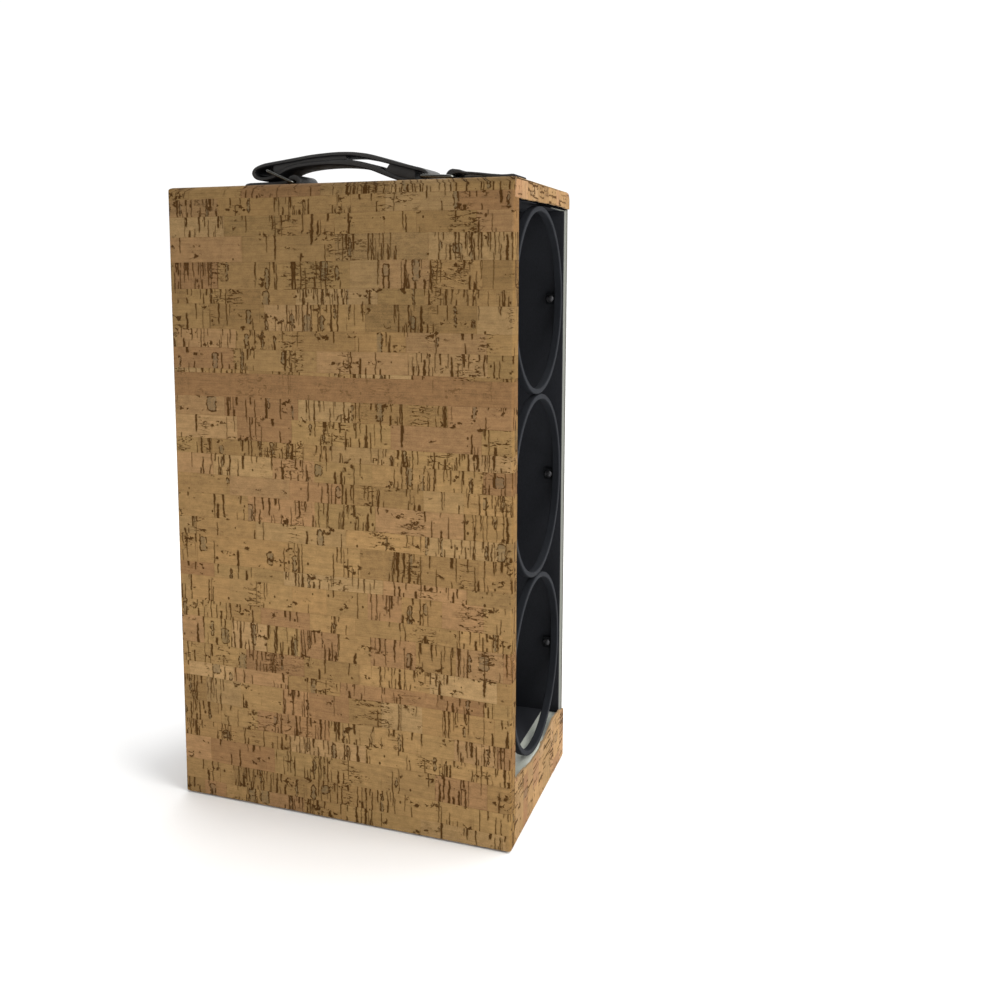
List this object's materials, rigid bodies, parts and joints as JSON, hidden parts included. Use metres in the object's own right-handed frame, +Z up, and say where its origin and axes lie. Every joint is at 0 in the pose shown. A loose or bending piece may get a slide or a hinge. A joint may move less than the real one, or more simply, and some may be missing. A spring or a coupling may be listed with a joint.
{
  "type": "bottle carrier",
  "caption": "Upright open-ended cork-covered box that holds bottles lying one above another between end rings, with a folding strap handle hung on metal loops.",
  "frame": {"origin": "centre of the underside of the box", "axes": "+Z up, X along the bottles with +X the open end seen in the picture, -Y the broad front face seen in the picture"},
  "size_m": [0.187, 0.113, 0.3498],
  "materials": {
    "board": "raw grey fibreboard, matt",
    "lining": "thin black lining, matt",
    "cork": "natural cork sheet with dark streaks, satin",
    "ring": "dark grey, satin",
    "rivet": "dark, satin",
    "strap": "black leather, satin",
    "wire": "dull nickel wire"
  },
  "bodies": {
    "case": {"front_panel": "board", "rear_panel": "board", "top_panel": "board", "floor_board": "board", "bottom_board": "board", "base_rail_right": "board", "base_rail_left": "board", "base_rail_front": "board", "base_rail_rear": "board", "lining_front": "lining", "lining_rear": "lining", "lining_top": "lining", "lining_floor": "lining", "cork_sleeve": "cork", "cork_bottom": "cork", "cork_edge_right": "cork", "cork_edge_left": "cork", "cork_end_top_right": "cork", "cork_end_top_left": "cork", "cork_end_base_right": "cork", "cork_end_base_left": "cork", "ring_right_top": "ring", "ring_right_middle": "ring", "ring_right_bottom": "ring", "ring_left_top": "ring", "ring_left_middle": "ring", "ring_left_bottom": "ring", "ring_rivet_right_top_front": "rivet", "ring_rivet_right_top_rear": "rivet", "ring_rivet_right_middle_front": "rivet", "ring_rivet_right_middle_rear": "rivet", "ring_rivet_right_bottom_front": "rivet", "ring_rivet_right_bottom_rear": "rivet", "ring_rivet_left_top_front": "rivet", "ring_rivet_left_top_rear": "rivet", "ring_rivet_left_middle_front": "rivet", "ring_rivet_left_middle_rear": "rivet", "ring_rivet_left_bottom_front": "rivet", "ring_rivet_left_bottom_rear": "rivet", "tab_right": "strap", "tab_left": "strap", "tab_rivet_right_inner": "rivet", "tab_rivet_right_outer": "rivet", "tab_rivet_left_inner": "rivet", "tab_rivet_left_outer": "rivet"},
    "loop_left": {"loop_left": "wire"},
    "loop_right": {"loop_right": "wire"},
    "handle": {"handle_strap": "strap", "handle_core_left": "strap", "handle_core_right": "strap"}
  },
  "joints": [
    {"name": "handle_swing", "type": "hinge", "parent": "case", "child": "loop_left", "pos_m": [-0.044, 0, 0.3346], "axis": [0, 1, 0], "range_deg": [0, 120]},
    {"name": "loop_right_swing", "type": "hinge", "parent": "case", "child": "loop_right", "pos_m": [0.0477, 0, 0.3346], "axis": [0, 1, 0], "range_deg": [0, 125]},
    {"name": "strap_on_loop_left", "type": "hinge", "parent": "loop_left", "child": "handle", "pos_m": [-0.05993, 0, 0.34159], "axis": [0, 1, 0], "range_deg": [-127, 0]}
  ],
  "couplings": [
    {"joint": "loop_right_swing", "follows": "handle_swing", "ratio": 1.04},
    {"joint": "strap_on_loop_left", "follows": "handle_swing", "ratio": -1.053}
  ]
}
